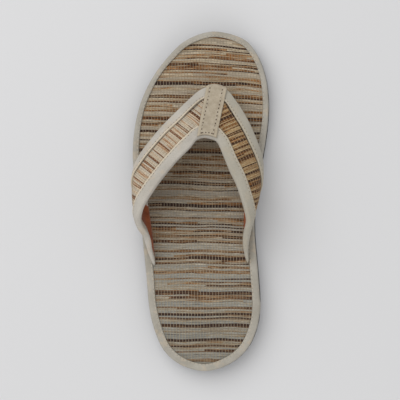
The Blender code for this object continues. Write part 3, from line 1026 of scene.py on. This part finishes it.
def footbedWarps():
    paths = []
    moved = outline + weave["underTape"] * inwards(outline)
    for x in np.arange(*weave["warpsAcross"], weave["warpPitch"]):
        inside = []
        for start, end in zip(moved, np.roll(moved, -1, axis=0)):
            if (start[0] - x) * (end[0] - x) < 0:
                inside.append(start[1] + (end[1] - start[1]) * (x - start[0]) / (end[0] - start[0]))
        if len(inside) < 2:
            continue
        low, high = min(inside), max(inside)
        counts = np.arange(math.ceil(weftAt(low)), math.floor(weftAt(high))) + 0.5
        places = np.interp(counts, weftCounts, weftEdges)
        y = places.copy()
        for _ in range(4):
            y += places - weftLine(x, y)
        keep = (y > low) & (y < high)
        y = y[keep]
        z = footbedTop(y) + weftHeight(counts[keep]) + 0.3 * weave["warpHeight"]
        sway = 0.12 * np.sin(y / 5.1 + x) + x
        paths.append(np.stack([sway, y, z], axis=1))
    return paths


dress(makeThreads("footbedWarps", footbedWarps(), warpCotton), "woven_grass")
print("footbed warps")

# Edge tape: folded round the footbed's edge
edgeTape = {
    "width": 6,  # seen from above, and round the toe
    "toeWidth": 4.5,
    "under": 3.5,
    "wall": 1.1,
    "round": 2,
    "lapRise": 0.7,
    "lapLength": 8,
    "lapAlong": 0.185,
    "stations": 960,
    "pitch": 3.4,  # of the stitches
    "seam": 0.9,  # from the free edge to the stitches
    "dimple": 0.08,  # how deep a stitch pulls the tape in
}


def tapeTop(y):
    blend = eased(y, along(0.55), along(0.72))
    return edgeTape["width"] + (edgeTape["toeWidth"] - edgeTape["width"]) * blend


def arc(centre, radius, start, end, steps):
    turn = np.radians(np.linspace(start, end, steps))
    return [(centre[0] + radius * math.cos(a), centre[1] + radius * math.sin(a)) for a in turn]


def makeEdgeTape():
    loop = evenLoop(outline, edgeTape["stations"])
    normal = inwards(loop)
    y = loop[:, 1]
    low = footbedBase(y)
    high = footbedTop(y) + sole["gap"]
    wall = edgeTape["wall"]
    bend = edgeTape["round"]
    wide = tapeTop(y)
    reach = lengths(loop)
    lapShare = np.clip(1 - ((y - along(edgeTape["lapAlong"])) / edgeTape["lapLength"]) ** 2, 0, 1) ** 2
    lapShare = np.where(loop[:, 0] > 0, lapShare, 0)
    pull = np.cos(reach / edgeTape["pitch"] * 2 * math.pi)
    dimple = edgeTape["dimple"] * np.clip(pull, 0, 1) ** 2
    ripple = 0.16 * np.sin(reach / 13.7) + 0.1 * np.sin(reach / 6.1 + 2)
    top = high + wall
    # distance inside the outline, height, share of the lap's bump up and out, share of the stitches' pull
    profile = [
        (wide + ripple, top - wall, 0, 0, 0),
        (wide + ripple + 0.05, top - 0.55 * wall, 0.2, 0, 0),
        (wide + ripple - 0.12, top - 0.2 * wall, 0.3, 0, 0.2),
        (wide + ripple - 0.4, top, 0.4, 0, 0.3),
        (wide - 0.7, top + 0.04, 0.5, 0, 1),
        (wide - 1.1, top + 0.08, 0.6, 0, 0.8),
        (0.6 * wide + 0.4 * bend - 0.4, top + 0.14, 0.8, 0, 0.1),
        (0.3 * wide + 0.7 * bend, top + 0.18, 1, 0, 0),
        (bend + 0.2, top + 0.12, 1, 0, 0),
    ]
    for x, z in arc((bend, -bend), bend, 100, 180, 6)[1:]:
        profile.append((x, top + z + 0.05, max(0, 1 + z / 2), min(1, -z / 2 + 0.4), 0))
    middle = (low + top) / 2 - 0.3
    profile += [
        (-0.1, middle, 0, 1, 0),
        (0, low + wall, 0, 1, 0),
        (0.15, low + 0.4 * wall, 0, 0.5, 0),
        (0.6 * wall, low, 0, 0, 0),
        (edgeTape["under"], low, 0, 0, 0),
        (edgeTape["under"], low + wall, 0, 0, 0),
        (wall, low + wall, 0, 0, 0),
        (wall, high, 0, 0, 0),
    ]
    rings = []
    for distance, height, up, out, pulled in profile:
        reachIn = distance - out * lapShare * edgeTape["lapRise"]
        flat = loop + reachIn[:, None] * normal
        z = height + up * lapShare * edgeTape["lapRise"] - pulled * dimple
        rings.append(np.column_stack([flat, z]))
    sections = np.stack(rings, axis=1)
    uv = clothMap(reach, lengths(sections.mean(axis=0)))
    return tube("edgeTape", sections, tapeCotton, uv, endless=True)


dress(makeEdgeTape(), "cotton_tape", "edge_binding")
print("edge tape")

# Strap: woven cloth outside, rust lining inside
cloth = {
    "finer": 1.25,  # how much finer its wefts are than the footbed's
    "start": 0.6,  # rows of the strap before and after the cloth
    "margin": 0.03,  # share of the strap's width under each tape's fold
    "stepsAlong": 30,
    "across": 34,
    "liningSteps": 6,
    "liningAcross": 14,
    "tabHalf": 0.8,  # rows under each half of the tab, which has no warps
    "warpSteps": 2400,
    "warpMargin": 0.06,
}


def strapWeft(flat):
    return weftAt(cloth["finer"] * flat[..., 0] + wobble(flat[..., 1], flat[..., 0]) * 0.6 - 40)


def strapShell(steps, across, outer, inner):
    # Two layers at heights over the strap's middle. An outer height may follow the weft count.
    t = np.linspace(cloth["start"], lastRow - cloth["start"], (lastRow - 1) * steps)
    v = np.linspace(cloth["margin"], 1 - cloth["margin"], across)
    tt, vv = np.meshgrid(t, v, indexing="ij")
    outside = strapPoint(tt, vv, outer(tt, vv))
    inside = strapPoint(tt, vv[:, ::-1], inner)
    return tt, vv, np.concatenate([outside, inside], axis=1)


def thereAndBack(values):
    return np.concatenate([values, values[:, ::-1]], axis=1)


def strapCloth():
    def crest(tt, vv):
        return strap["wall"] / 2 + 0.1 + weftHeight(strapWeft(flatAt(tt, vv)))

    tt, vv, sections = strapShell(cloth["stepsAlong"], cloth["across"], crest, 0.05)
    flat = flatAt(tt, vv)
    uv = np.stack([flat[..., 1], strapWeft(flat)], axis=2)
    front = vv * edgeReach(tt, 0) - strap["tapeWidth"]
    rear = (1 - vv) * edgeReach(tt, 1) - strap["tapeWidth"]
    depths = np.stack([front, rear], axis=2)
    thing = tube("strapCloth", sections, outerGrass, thereAndBack(uv), edge=thereAndBack(depths))
    thing.data.materials.append(innerGrass)
    middle = np.searchsorted(tt[:, 0], strap["middle"])
    for face in thing.data.polygons:
        if min(face.vertices) >= middle * sections.shape[1]:
            face.material_index = 1
    return thing


def strapLining():
    steps, across = cloth["liningSteps"], cloth["liningAcross"]
    sections = strapShell(steps, across, lambda tt, vv: -0.05, -strap["wall"] / 2)[2]
    return tube("strapLining", sections, rustLining)


def strapWarps():
    paths = []
    middle = strap["middle"]
    half = cloth["tabHalf"]
    for start, end in ((cloth["start"], middle - half), (lastRow - cloth["start"], middle + half)):
        t = np.linspace(start, end, cloth["warpSteps"])
        edges = np.stack([flatAt(t, edge)[:, 1] for edge in (0, 1)])
        front, rear = edges
        for across in np.arange(edges.min(), edges.max(), weave["warpPitch"]):
            v = (across - front) / (rear - front)
            inside = (v > cloth["warpMargin"]) & (v < 1 - cloth["warpMargin"])
            if inside.sum() < 30:
                continue
            tHere = t[inside]
            vHere = v[inside]
            count = strapWeft(flatAt(tHere, vHere))
            crest = np.nonzero(np.diff(np.floor(count + 0.5)))[0]
            # A warp that leaves the cloth and comes back is two threads.
            run = np.split(crest, np.nonzero(np.abs(np.diff(tHere[crest])) > 0.5)[0] + 1)
            for part in run:
                if len(part) > 3:
                    height = strap["wall"] / 2 + 0.1 + weftHeight(count[part]) + 0.3 * weave["warpHeight"]
                    paths.append(strapPoint(tHere[part], vHere[part], height))
    return paths


dress(strapCloth(), "woven_grass", "strap")
dress(strapLining(), "woven_grass")
dress(makeThreads("strapWarps", strapWarps(), strapWarpCotton), "woven_grass")
print("strap")

# Tapes folded round the strap's edges
binding = {
    "stepsAlong": 12,
    "foot": 0.75,  # rows of the strap before and after a tape
    "pitch": 3.0,  # of the stitches
    "seam": 1.3,  # from the free edge to the stitches
    "pull": 0.16,  # how deep a stitch pulls the tape in
    "firstStitch": 2.2,  # rows from a foot to its first stitch
    "underTab": 0.9,  # rows beside the middle where the tab hides the stitches
    "press": (0.3, 1.0, 4.2),  # share of the height at a foot, and the rows over which the rest comes
    "taper": (0.4, 1.4, 5.4),  # the same for the rear tape's width
}


def evenReach(t, edge):
    # Length across for one whole v, taken over a short run so that the tape's free edge is a smooth line
    return sum(edgeReach(t + step, edge) for step in (-1.2, -0.6, 0, 0.6, 1.2)) / 5


def edgeRun(t, edge):
    return lengths(fromGrid(strapGrid, t, edge))


def fromFoot(t, least, start, end):
    # 1 along the arm and less at a foot
    return least + (1 - least) * eased(np.minimum(t, lastRow - t), start, end)


def footPress(t):
    # A tape that goes down beside the edge tape is pressed thin.
    return fromFoot(t, *binding["press"])


def footTaper(t, edge):
    # The rear tape narrows to a point at its feet.
    return fromFoot(t, *binding["taper"]) if edge else np.ones(len(t))


def mirrored(half):
    # A profile with its reflection below the middle, from which it shares its last point
    return half + [(depth, -height) for depth, height in half[-2::-1]]


def bindingProfile(wall):
    # depth in from the edge and height over the middle, outside and then back inside
    inner = strap["wall"] / 2 + sole["gap"]
    width = strap["tapeWidth"]
    outer = inner + wall
    nose = sole["gap"] + wall
    top = [
        (width + 0.2, outer - 1.1 * wall),
        (width + 0.2, outer - 0.3 * wall),
        (width, outer + 0.08),
        (width - 0.5, outer + 0.12),
        (width - 1.0, outer - 0.06),
        (width - 1.7, outer),
        (width - 3.0, outer + 0.14),
        (width / 2, outer + 0.16),
        (width / 4, outer + 0.12),
        (0.6, outer),
    ]
    fold = []
    for turn in np.radians(np.linspace(90, 0, 7)):
        fold.append((-(nose + 0.1) * math.cos(turn), outer * math.sin(turn)))
    lining = [(width, inner - 0.2), (width / 2, inner), (0.3, inner), (0, 0)]
    return mirrored(top + fold), mirrored(lining)[::-1]


def makeBinding(name, edge):
    count = (lastRow - 1) * binding["stepsAlong"]
    t = np.linspace(binding["foot"], lastRow - binding["foot"], count)
    reach = evenReach(t, edge)
    press = footPress(t)
    taper = footTaper(t, edge)
    run = edgeRun(t, edge)
    outside, inside = bindingProfile(strap["tapeWall"])
    profile = outside + inside
    sections = np.zeros((count, len(profile), 3))
    for index, (depth, height) in enumerate(profile):
        wave = 0.12 * np.sin(run / 9.3 + edge) * min(1, max(0, depth) / 4)
        pull = 0.0
        if 0 <= index < 8 or len(outside) - 8 <= index < len(outside):
            near = math.exp(-((depth - (strap["tapeWidth"] - binding["seam"])) ** 2) / 0.35)
            pull = binding["pull"] * near * np.clip(np.cos(run / binding["pitch"] * 2 * math.pi), 0, 1) ** 2
        place = (depth * (taper if depth > 0 else 1) + wave) / reach
        v = place if edge == 0 else 1 - place
        lift = height * press - math.copysign(1, height) * pull if height else 0 * t
        sections[:, index] = strapPoint(t, v, lift)
    return tube(name, sections, bindingCotton, clothMap(run, lengths(sections[count // 3])))


dress(makeBinding("frontBinding", 0), "cotton_tape", "front_binding")
dress(makeBinding("rearBinding", 1), "cotton_tape", "rear_binding")
print("bindings")

# Tab over the strap's middle and the post between the toes
tab = {
    "width": 16.4,
    "lean": 4.5,  # how far its rear end leans to the outer side
    "side": 2.1,  # how far it stands to the inner side of the strap's middle
    "wall": 1.2,
    "past": 0.5,  # how far it runs past the strap's rear edge
    "under": 11,  # length of its flap under the strap
    "step": 2.2,  # run in which it comes down from a tape to the strap
    "lift": 0.15,  # how far it clears the tapes, beside the gap
    "postBack": 1.5,
    "postWidth": 11.5,
    "postThickness": 4.2,
    "postFull": (0.35, 0.55),  # 1 is round and 0 is square, across and deep
    "slices": 24,  # sections across it, and steps along its top
    "topSteps": 40,
    "postSlices": 16,
    "postCorners": 28,
    "rows": 10.3,  # between its two rows of stitches
    "pitch": 3.4,  # of the stitches, and the same across its rear end
    "endPitch": 2.6,
    "endSeam": 1.8,  # from the rear end to the stitches across it
}
middleRow = strap["middle"]
rowSpacing = 2 * np.linalg.norm(
    fromGrid(strapGrid, middleRow + 0.5, vGrid) - fromGrid(strapGrid, float(middleRow), vGrid), axis=1
)


def tabPlace(offset, v, height):
    # A point of the tab: offset across from its middle, v along the strap's middle row.
    spacing = np.interp(v, vGrid, rowSpacing)
    return strapPoint(middleRow + (offset + tab["side"] - tab["lean"] * v) / spacing, v, height)


def tabHeights():
    # v and height of the tab's underside from its rear end over the nose to the end of its flap.
    frontReach = float(edgeReach(middleRow, 0.0))
    rearReach = float(edgeReach(middleRow, 1.0))
    overStrap = strap["wall"] / 2 + sole["gap"]
    overTape = overStrap + strap["tapeWall"] + sole["gap"] + tab["lift"]
    rear = 1 + tab["past"] / rearReach
    tapeFront = strap["tapeWidth"] / frontReach
    tapeRear = 1 - strap["tapeWidth"] / rearReach
    run = tab["step"] / frontReach
    path = []
    for v in np.linspace(rear, 0, tab["topSteps"]):
        dip = eased(tapeRear - v, 0, run) * eased(v - tapeFront, 0, run)
        path.append((v, overTape + (overStrap - overTape) * float(dip)))
    nose = (strap["tapeWall"] + 2 * sole["gap"]) / frontReach
    for turn in np.radians(np.linspace(90, -90, 13)[1:-1]):
        path.append((-nose * math.cos(turn), overTape * math.sin(turn)))
    for v in np.linspace(0, tab["under"] / frontReach, 10):
        path.append((v, -overTape))
    return path, frontReach


def makeTab():
    path, reach = tabHeights()
    offsets = np.linspace(-0.5, 0.5, tab["slices"]) * tab["width"]
    count = len(path)
    sections = np.zeros((tab["slices"], 2 * count, 3))
    for slot, offset in enumerate(offsets):
        edge = 1 - abs(offset) / (tab["width"] / 2)
        plump = 0.35 * (1 - (1 - min(1, edge * 4)) ** 2)
        for index, (v, height) in enumerate(path):
            before = path[max(0, index - 1)]
            after = path[min(count - 1, index + 1)]
            run = np.array([(after[0] - before[0]) * reach, after[1] - before[1]])
            out = unit(np.array([run[1], -run[0]]))
            thick = tab["wall"] * (0.72 + plump)
            sections[slot, index] = tabPlace(offset, v + out[0] * thick / reach, height + out[1] * thick)
            sections[slot, 2 * count - 1 - index] = tabPlace(offset, v, height)
    return tube("toeTab", sections, tabCanvas, clothMap(offsets, lengths(sections[tab["slices"] // 2])))


def fuller(wave, power):
    # Swells a round towards a square.
    return np.sign(wave) * np.abs(wave) ** power


def makePost():
    front = fromGrid(strapGrid, float(middleRow), 0.0)
    rear = fromGrid(strapGrid, float(middleRow), 1.0)
    ahead = unit((front - rear) * [1, 1, 0])
    across = np.array([ahead[1], -ahead[0], 0])
    foot = front - ahead * tab["postBack"] + across * tab["side"]
    low = float(footbedBase(foot[1])) + 1
    high = front[2] - 0.5
    sections = []
    turn = np.linspace(0, 2 * math.pi, tab["postCorners"], endpoint=False)
    for share in np.linspace(0, 1, tab["postSlices"]):
        z = low + (high - low) * share
        flare = float(eased(share, 0.45, 1.0))
        wide = tab["postWidth"] / 2 + (tab["width"] - tab["postWidth"]) / 2 * flare * 0.9
        deep = tab["postThickness"] / 2 * (1 + 0.1 * flare)
        x = fuller(np.cos(turn), tab["postFull"][0]) * wide
        y = fuller(np.sin(turn), tab["postFull"][1]) * deep
        loop = foot + ahead * flare * 0.8 + x[:, None] * across + y[:, None] * ahead
        loop[:, 2] = z
        sections.append(loop)
    height = np.linspace(0, high - low, tab["postSlices"])
    uv = clothMap(np.linspace(0, 30, tab["postCorners"]), height).transpose(1, 0, 2)
    return tube("toePost", sections, tabCanvas, uv)


dress(makeTab(), "cotton_canvas", "toe_tab")
dress(makePost(), "cotton_canvas")
print("tab and post")

# Stitches, by Geometry Nodes on points that carry a direction and an outward side
stitchSizes = {
    # length, width and height of a stitch, and of the dark blob of painted shade in the hole at its end
    "edgeTape": ((2.3, 0.5, 0.4), (0.8, 0.5, 0.28)),
    "binding": ((2.1, 0.45, 0.36), (0.9, 0.6, 0.3)),
    "tab": ((2.2, 0.55, 0.42), (1.5, 0.9, 0.56)),
}


def stitchTree():
    tree, given = nodeTree("stitchRow", {"Length": "Float", "Width": "Float", "Height": "Float"})
    ball = geoNode(tree, "GeometryNodeMeshUVSphere", {}, {"Segments": 8, "Rings": 5, "Radius": 0.5})
    stitch = scaled(tree, ball, given["Length"], given["Width"], given["Height"])
    sides = [
        geoNode(tree, "GeometryNodeInputNamedAttribute", {"data_type": "FLOAT_VECTOR"}, {"Name": label})
        for label in ("up", "ahead")
    ]
    axes = {"primary_axis": "Z", "secondary_axis": "X"}
    turn = geoNode(tree, "FunctionNodeAxesToRotation", axes, {0: sides[0], 1: sides[1]})
    points = geoNode(tree, "GeometryNodeMeshToPoints", {}, {0: given["Geometry"]})
    inputs = {"Points": points, "Instance": stitch, "Rotation": turn}
    return endTree(tree, given, geoNode(tree, "GeometryNodeInstanceOnPoints", {}, inputs))


stitching = stitchTree()


def makeStitches(name, spots, size, material):
    # spots holds a place, a direction and an outward side for each stitch
    places, aheads, ups = [np.array(column, np.float64) for column in zip(*spots)]
    mesh = meshOf(name, places)
    for label, values in (("ahead", aheads), ("up", ups)):
        layer = mesh.attributes.new(label, "FLOAT_VECTOR", "POINT")
        layer.data.foreach_set("vector", values.astype(np.float32).ravel())
    values = dict(zip(("Length", "Width", "Height"), size))
    return grown(linked(name, mesh), stitching, values, material)


def edgeTapeSpots(offset):
    closed = np.vstack([outline, outline[:1]])
    reach = lengths(closed)
    count = round(reach[-1] / edgeTape["pitch"])
    normal = inwards(outline)
    normal = np.vstack([normal, normal[:1]])
    spots = []
    for step in range(count):
        here = (step + offset) * reach[-1] / count
        point = onLine(closed, reach, here)
        inward = unit(onLine(normal, reach, here))
        y = point[1]
        place = point + inward * (tapeTop(y) - edgeTape["seam"])
        z = footbedTop(y) + sole["gap"] + edgeTape["wall"] - 0.02
        spots.append(([*place, z], [inward[1], -inward[0], 0.0], [0.0, 0.0, 1.0]))
    return spots


def bindingSpots(edge, offset, side=1):
    t = np.linspace(binding["firstStitch"], lastRow - binding["firstStitch"], 3000)
    run = edgeRun(t, edge)
    count = int(run[-1] / binding["pitch"])
    where = np.interp((np.arange(count) + offset) * binding["pitch"], run, t)
    depth = (strap["tapeWidth"] - binding["seam"]) * footTaper(where, edge) / evenReach(where, edge)
    v = depth if edge == 0 else 1 - depth
    height = side * (strap["wall"] / 2 + sole["gap"] + strap["tapeWall"] - 0.04)
    places = strapPoint(where, v, height * footPress(where))
    ahead = fromGrid(strapRun, where, v)
    out = fromGrid(strapOut, where, v) * side
    shown = np.abs(where - middleRow) >= binding["underTab"]
    return list(zip(places[shown], unit(ahead[shown]), unit(out[shown])))


def tabSpots(offset):
    path = tabHeights()[0][: tab["topSteps"]]
    run = lengths([tabPlace(0.0, v, height) for v, height in path])
    start = tab["endSeam"]
    spots = []
    thick = tab["wall"] * 1.07

    def spot(across, here):
        v = np.interp(here, run, [step[0] for step in path])
        height = np.interp(here, run, [step[1] for step in path]) + thick
        place = tabPlace(across, v, height)
        ahead = unit(tabPlace(across, v - 0.02, height) - place)
        aside = unit(tabPlace(across + 0.5, v, height) - place)
        return place, ahead, unit(np.cross(aside, ahead)), aside

    for across in (-tab["rows"] / 2, tab["rows"] / 2):
        for here in np.arange(start + offset * tab["pitch"], run[-1] - 0.5, tab["pitch"]):
            place, ahead, up, _ = spot(across, here)
            spots.append((place, ahead, up))
    pitch = tab["endPitch"]
    for across in np.arange(-tab["rows"] / 2 + (0.5 + offset) * pitch, tab["rows"] / 2, pitch):
        place, _, up, aside = spot(across, start)
        spots.append((place, aside, up))
    return spots


def sew(name, kind, spots, offset, holeShade, slot):
    # A row of stitches, and dark blobs of painted shade in the holes between them
    stitch, hole = stitchSizes[kind]
    dress(makeStitches(name + "Stitches", spots(offset), stitch, threadBeige), slot)
    dress(makeStitches(name + "Holes", spots(0.5 - offset), hole, holeShade), slot)


def bothSides(edge):
    return lambda offset: bindingSpots(edge, offset) + bindingSpots(edge, offset, -1)


sew("edgeTape", "edgeTape", edgeTapeSpots, 0.0, holeShadeFaint, "cotton_tape")
sew("frontBinding", "binding", bothSides(0), 0.0, holeShadeFaint, "cotton_tape")
sew("rearBinding", "binding", bothSides(1), 0.0, holeShadeFaint, "cotton_tape")
sew("tab", "tab", tabSpots, 0.5, holeShadeDark, "cotton_canvas")
print("stitches")

# Floor, light and camera
studio = {
    "floorHalf": 12.0,
    "floorShade": (216, 216, 217),
    "lights": [
        # name, place, size, power
        ("overhead", (-0.7, 0.75, 1.5), 2.0, 17),
        ("fromHeel", (0.3, -1.3, 0.9), 1.2, 4),
    ],
    "sky": 0.6,
    "nadir": (55, -44),  # point of the shoe's frame right under the camera
    "cameraHeight": 1000,
    "fill": 0.86,  # share of the picture's height that the sandal takes
    "lean": 0.007,  # how far the picture's upright leans to the inner side
}


def makeFloor():
    half = studio["floorHalf"]
    mesh = bpy.data.meshes.new("floor")
    corners = [(-half, -half, 0), (half, -half, 0), (half, half, 0), (-half, half, 0)]
    mesh.from_pydata(corners, [], [(0, 1, 2, 3)])
    finish = Finish("studioPaper", roughness=0.9)
    finish.color(studio["floorShade"])
    mesh.materials.append(finish.material)
    linked("floor", mesh)


def makeLight(name, place, size, power):
    data = bpy.data.lights.new(name, "AREA")
    data.shape = "DISK"
    data.size = size
    data.energy = power
    light = linked(name, data)
    light.location = place
    light.rotation_euler = (-Vector(place)).to_track_quat("-Z", "Y").to_euler()


def makeStudio():
    makeFloor()
    for light in studio["lights"]:
        makeLight(*light)
    world = bpy.data.worlds.new("studio")
    world.use_nodes = True
    background = world.node_tree.nodes["Background"]
    background.inputs["Color"].default_value = (1, 1, 1, 1)
    background.inputs["Strength"].default_value = studio["sky"]
    bpy.context.scene.world = world
    bpy.context.scene.view_settings.view_transform = "Standard"


def makeCamera():
    low, high = cadBox
    target = (low + high) / 2
    x, y = studio["nadir"]
    place = Vector((x + shift, y, footbedTop(0.0) + studio["cameraHeight"])) * mm
    data = bpy.data.cameras.new("camera")
    data.sensor_width = 36
    data.lens = data.sensor_width * (place - target).length * studio["fill"] / (high.y - low.y)
    camera = linked("camera", data)
    camera.location = place
    view = (target - place).normalized()
    right = view.cross(Vector((studio["lean"], 1, 0))).normalized()
    up = right.cross(view)
    camera.rotation_euler = Matrix([[right[axis], up[axis], -view[axis]] for axis in range(3)]).to_euler()
    bpy.context.scene.camera = camera


makeStudio()
makeCamera()
print("studio")
